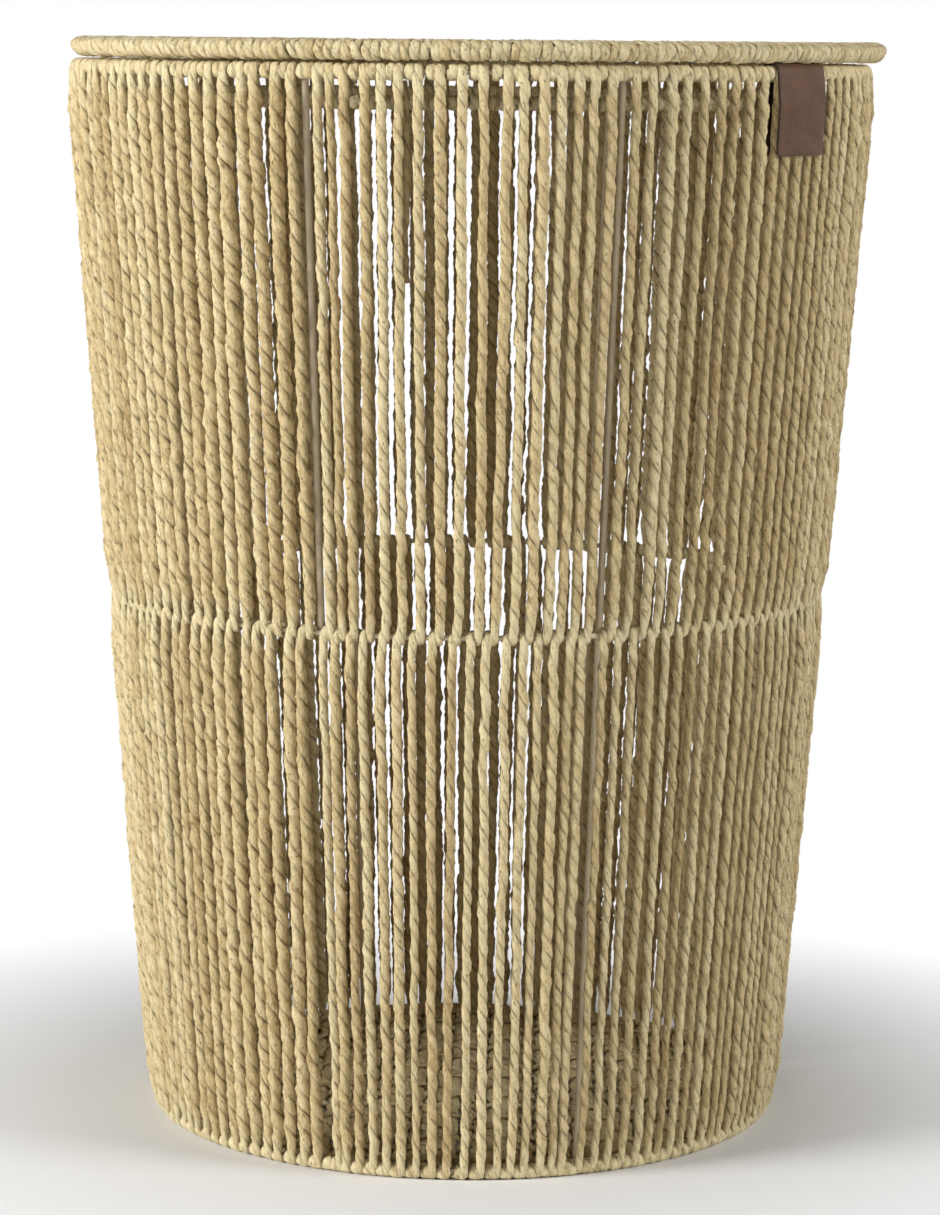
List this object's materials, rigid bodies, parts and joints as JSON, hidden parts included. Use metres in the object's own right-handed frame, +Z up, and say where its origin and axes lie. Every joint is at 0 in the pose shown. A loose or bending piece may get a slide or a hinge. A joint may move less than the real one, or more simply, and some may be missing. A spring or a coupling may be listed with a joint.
{
  "type": "laundry hamper with lid",
  "caption": "Tall round tapered laundry hamper of twisted cord strung in two tiers between wire-cored rings, with a woven base, a leather tab and a loose flat lid that lifts off.",
  "frame": {"origin": "centre of the basket on the floor it stands on", "axes": "+Z up along the basket's axis, -Y to the front of the picture, +X to its right"},
  "size_m": [0.4088, 0.407, 0.5426],
  "materials": {
    "paper_cord": "matt twisted paper cord, straw coloured",
    "frame_wire": "satin painted steel wire, grey beige",
    "brown_leather": "smooth brown leather with cut edges",
    "sewing_thread": "dark waxed thread"
  },
  "bodies": {
    "basket": {"top_ring": "paper_cord", "middle_ring": "paper_cord", "bottom_ring": "paper_cord", "upright_front_left": "frame_wire", "upright_front_right": "frame_wire", "upright_right_front": "frame_wire", "upright_right_back": "frame_wire", "upright_back_right": "frame_wire", "upright_back_left": "frame_wire", "upright_left_back": "frame_wire", "upright_left_front": "frame_wire", "upper_cords_front": "paper_cord", "upper_cords_front_right": "paper_cord", "upper_cords_right": "paper_cord", "upper_cords_back_right": "paper_cord", "upper_cords_back": "paper_cord", "upper_cords_back_left": "paper_cord", "upper_cords_left": "paper_cord", "upper_cords_front_left": "paper_cord", "lower_cords_front": "paper_cord", "lower_cords_front_right": "paper_cord", "lower_cords_right": "paper_cord", "lower_cords_back_right": "paper_cord", "lower_cords_back": "paper_cord", "lower_cords_back_left": "paper_cord", "lower_cords_left": "paper_cord", "lower_cords_front_left": "paper_cord", "base_panel": "paper_cord", "leather_tab": "brown_leather", "tab_stitches": "sewing_thread"},
    "lid": {"lid_rim": "paper_cord", "lid_panel": "paper_cord", "lid_rest_turns": "paper_cord", "lid_bar_left": "frame_wire", "lid_bar_right": "frame_wire", "lid_posts": "frame_wire", "lid_locating_ring": "paper_cord"}
  },
  "joints": [
    {"name": "lid_lift", "type": "slide", "parent": "basket", "child": "lid", "axis": [0, 0, 1], "range_m": [0, 0.3]}
  ]
}
